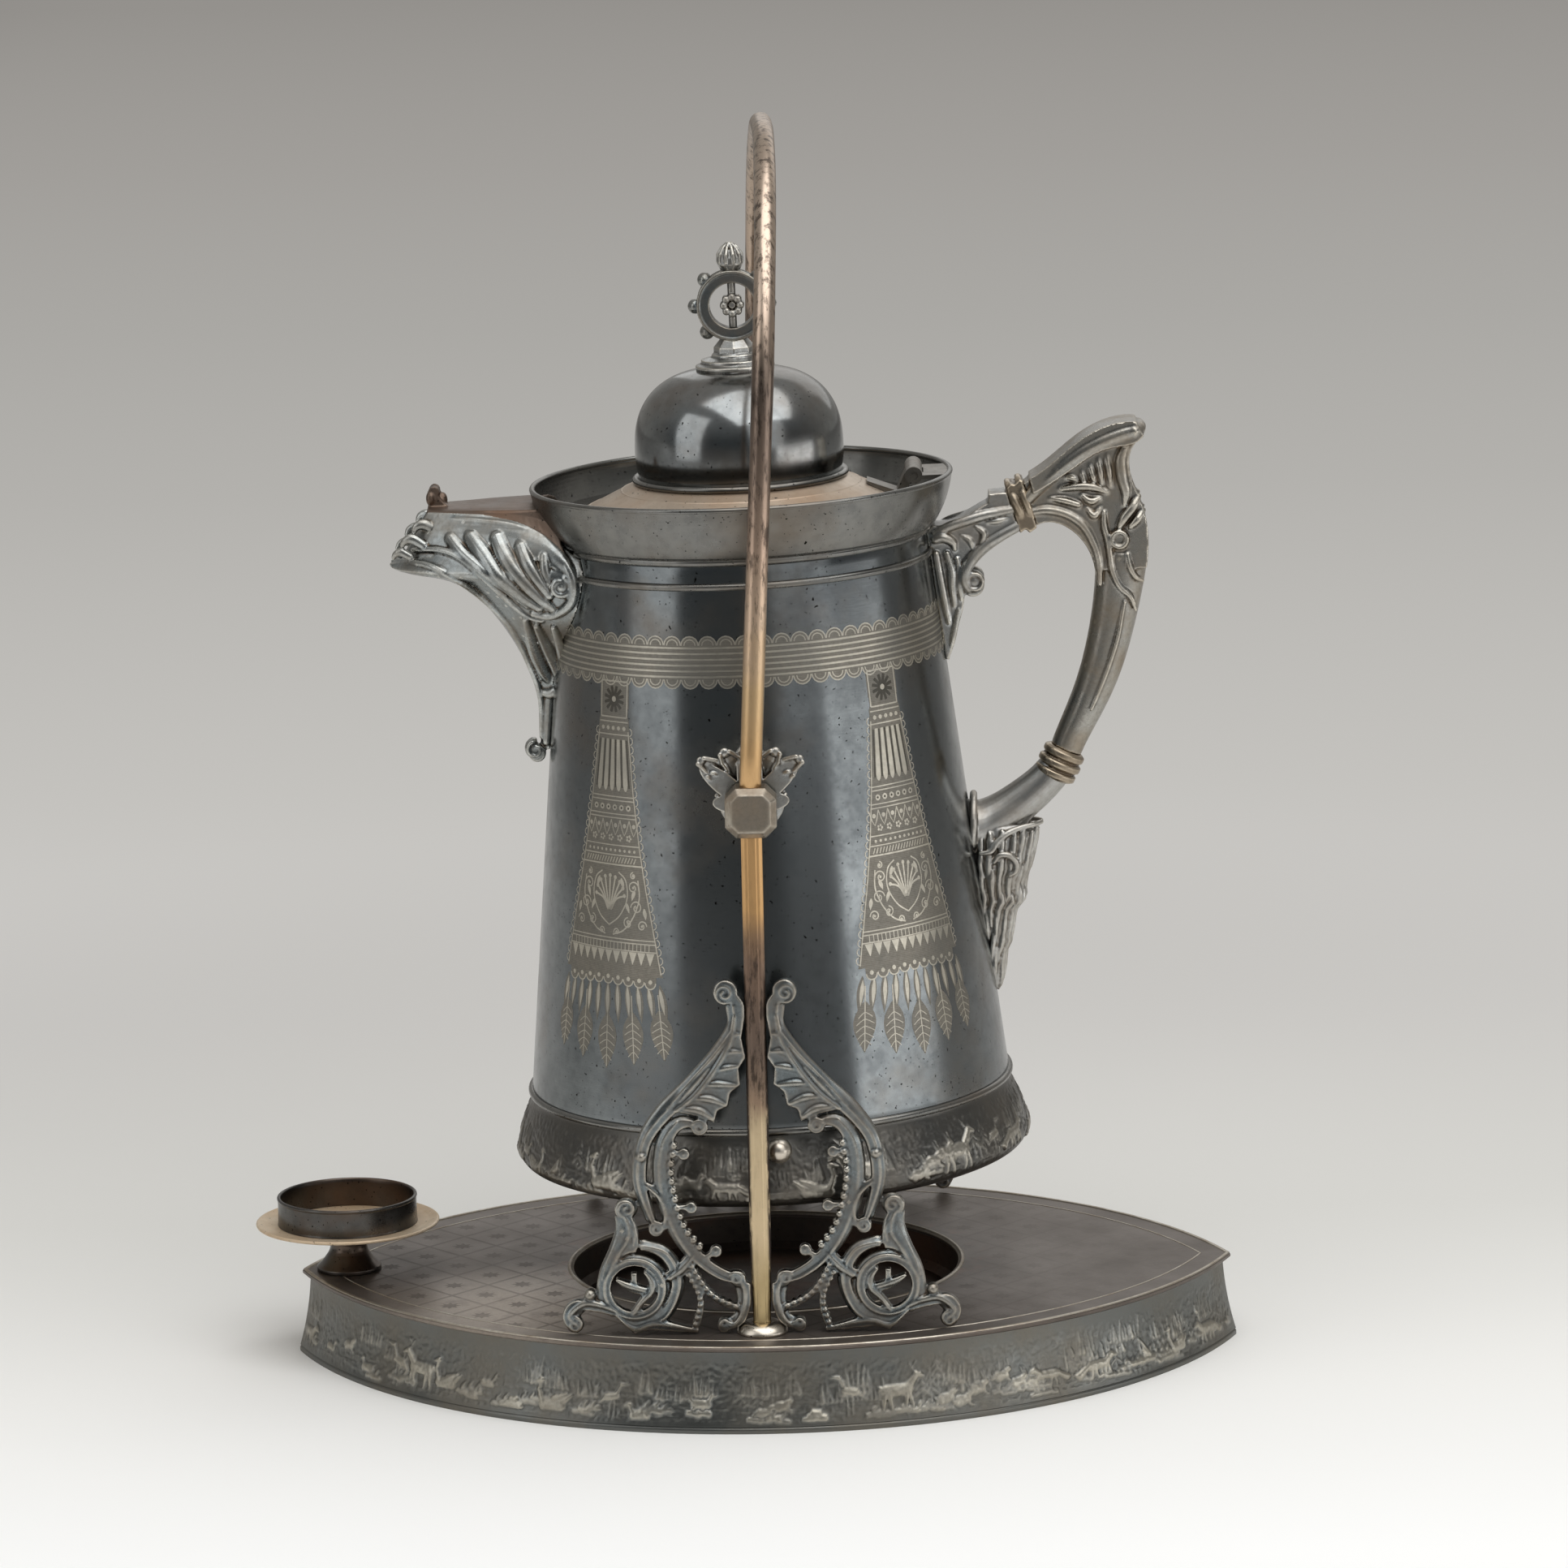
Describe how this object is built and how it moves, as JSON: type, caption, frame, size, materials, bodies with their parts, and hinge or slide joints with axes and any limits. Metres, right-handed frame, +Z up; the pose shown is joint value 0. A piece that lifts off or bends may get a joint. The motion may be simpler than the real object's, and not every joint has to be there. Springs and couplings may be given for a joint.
{
  "type": "tilting pitcher on stand",
  "caption": "Silver-plated tilting pitcher hung on trunnions in a brass hoop, over a pointed oval tray with scroll brackets and a goblet holder.",
  "frame": {"origin": "middle of the underside of the tray's foot rim, on the table", "axes": "+X towards the handle, -X towards the spout and the goblet holder, -Y the front, +Z up"},
  "size_m": [0.3962, 0.268, 0.4983],
  "materials": {
    "silver_plate": "dark tarnished polished silver plate",
    "cast_silver_plate": "satin cast plate, brown in the hollows",
    "worn_brass": "satin brass with remains of dark plate",
    "tray_plate": "matte tarnished plate",
    "plain_white_metal": "dull white metal",
    "steel_pins": "turned steel"
  },
  "bodies": {
    "stand": {"bail": "worn_brass", "base_top_plate": "tray_plate", "base_wall": "tray_plate", "bracket_front_handle_side": "cast_silver_plate", "bracket_front_spout_side": "cast_silver_plate", "bracket_rear_handle_side": "cast_silver_plate", "bracket_rear_spout_side": "cast_silver_plate", "drip_well": "tray_plate", "foot_button_front": "cast_silver_plate", "foot_button_rear": "cast_silver_plate", "goblet_disc": "tray_plate", "goblet_nut": "steel_pins", "goblet_pedestal": "silver_plate", "goblet_ring": "tray_plate", "hoop_nuts": "steel_pins", "pivot_block_front": "cast_silver_plate", "pivot_block_rear": "cast_silver_plate", "upright_front": "worn_brass", "upright_rear": "worn_brass"},
    "pitcher": {"foot_band": "silver_plate", "foot_bead_ring": "silver_plate", "gallery_rim": "silver_plate", "handle_arm_band": "cast_silver_plate", "handle_collar": "cast_silver_plate", "handle_grip": "cast_silver_plate", "handle_lower_mount": "cast_silver_plate", "handle_upper_bracket": "cast_silver_plate", "hinge_fixed_leaf": "cast_silver_plate", "hinge_pin": "steel_pins", "inner_liner": "plain_white_metal", "mouth_ring": "silver_plate", "neck_moulding": "silver_plate", "pitcher_body": "silver_plate", "pitcher_bottom": "silver_plate", "pivot_boss_front": "cast_silver_plate", "pivot_boss_rear": "cast_silver_plate", "spout": "cast_silver_plate", "spout_cover": "silver_plate", "spout_strainer": "plain_white_metal", "spout_throat": "plain_white_metal", "stop_ball": "cast_silver_plate", "trunnion_front": "steel_pins", "trunnion_rear": "steel_pins"},
    "lid": {"lid_flange": "silver_plate", "lid_dome": "silver_plate", "dome_bead": "silver_plate", "hinge_lid_leaf": "cast_silver_plate", "finial_base": "cast_silver_plate", "finial_ring": "cast_silver_plate", "finial_spindle": "cast_silver_plate", "finial_bud": "cast_silver_plate", "finial_nut": "steel_pins"}
  },
  "joints": [
    {"name": "pitcher_tilt", "type": "hinge", "parent": "stand", "child": "pitcher", "pos_m": [0, 0, 0.241], "axis": [0, -1, 0], "range_deg": [0, 70]},
    {"name": "lid_hinge", "type": "hinge", "parent": "pitcher", "child": "lid", "pos_m": [0.06538, 0, 0.35632], "axis": [0, 1, 0], "range_deg": [0, 88]}
  ]
}
